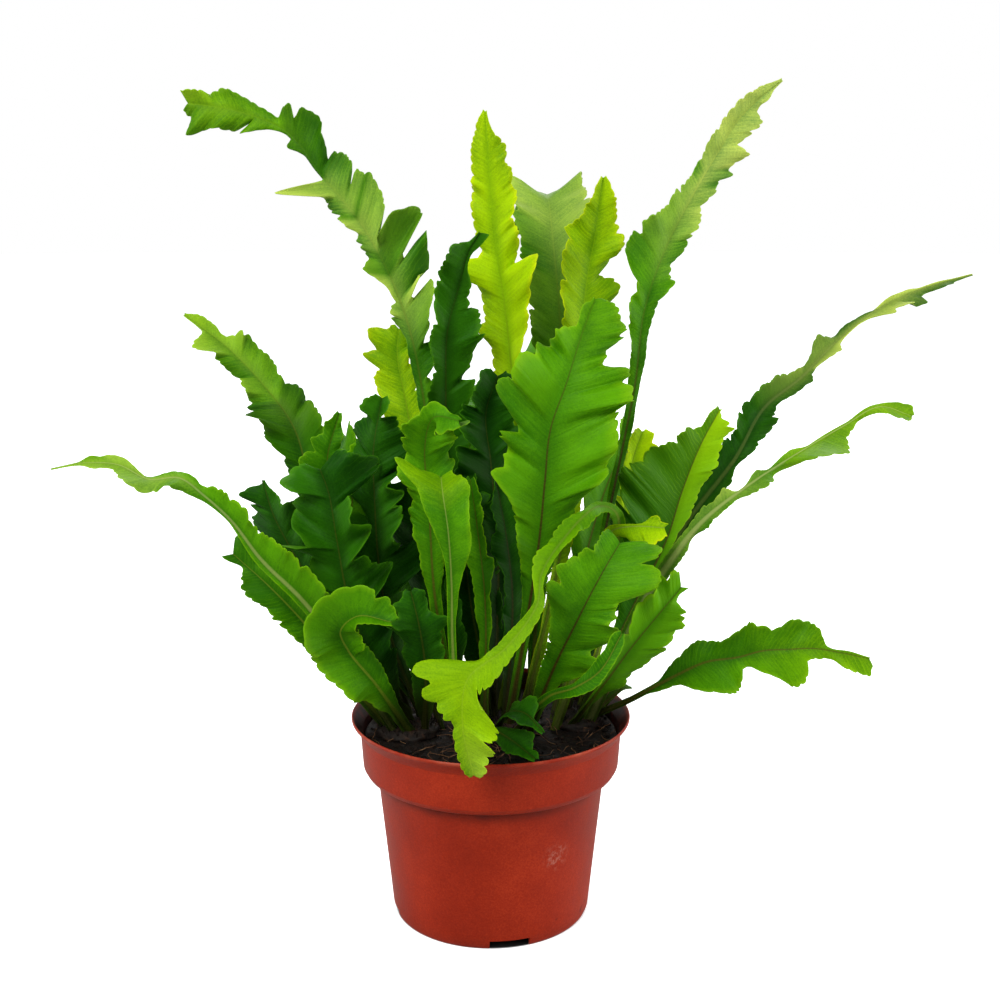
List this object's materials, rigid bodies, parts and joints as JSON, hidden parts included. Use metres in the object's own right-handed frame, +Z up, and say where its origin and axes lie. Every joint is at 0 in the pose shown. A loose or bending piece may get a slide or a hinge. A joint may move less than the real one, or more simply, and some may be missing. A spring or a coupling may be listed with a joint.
{
  "type": "potted fern",
  "caption": "Bird's-nest fern with lobed, ruffled fronds rising from crowns in the soil of a thin round nursery pot.",
  "frame": {"origin": "middle of the pot's foot, on the level it stands on", "axes": "+Z up along the pot's axis; +X towards the long right frond, along the plant's widest reach; -Y towards the front, the side of the hanging frond and of one foot notch"},
  "size_m": [0.3829, 0.2475, 0.3547],
  "materials": {
    "terracotta_plastic": "satin",
    "potting_soil": "matte",
    "crown_scales": "matte",
    "young_frond": "satin",
    "mid_frond": "satin",
    "dark_frond": "satin"
  },
  "bodies": {
    "root": {"pot": "terracotta_plastic", "potting_soil": "potting_soil", "crown_left": "crown_scales", "crown_middle": "crown_scales", "crown_right": "crown_scales", "frond_upper_left": "mid_frond", "frond_left_high": "mid_frond", "frond_left_slender": "mid_frond", "frond_left_low": "mid_frond", "frond_left_jagged": "dark_frond", "frond_left_folded": "young_frond", "frond_front_hanging": "young_frond", "frond_yellow_tip": "young_frond", "frond_tall_yellow": "young_frond", "frond_serrated": "young_frond", "frond_back_arching": "mid_frond", "frond_upper_right": "mid_frond", "frond_centre_broad": "mid_frond", "frond_right_long": "mid_frond", "frond_right_slender": "young_frond", "frond_right_broad": "dark_frond", "frond_right_inner": "young_frond", "frond_right_low": "mid_frond", "frond_right_upright": "mid_frond", "frond_front_broad": "mid_frond", "frond_front_low": "young_frond", "young_front_right": "dark_frond", "young_front_low": "dark_frond", "young_right": "mid_frond", "frond_trumpet": "young_frond", "frond_dark_lobed": "dark_frond", "frond_yellow_lobes": "young_frond", "frond_inner_arching": "mid_frond", "frond_dark_upright": "dark_frond", "frond_dark_broad": "dark_frond", "frond_dark_round": "dark_frond", "frond_left_second": "mid_frond", "frond_left_inner": "mid_frond", "frond_dark_inner": "dark_frond", "frond_inner_narrow_left": "mid_frond", "frond_inner_narrow_right": "dark_frond", "frond_inner_dark_left": "dark_frond", "frond_inner_dark_middle": "dark_frond", "frond_rear_left": "mid_frond", "frond_rear_middle": "mid_frond", "frond_rear_right": "mid_frond", "frond_rear_left_low": "dark_frond", "frond_rear_right_low": "dark_frond", "frond_rear_low": "dark_frond", "frond_rear_tall": "mid_frond"}
  },
  "joints": []
}
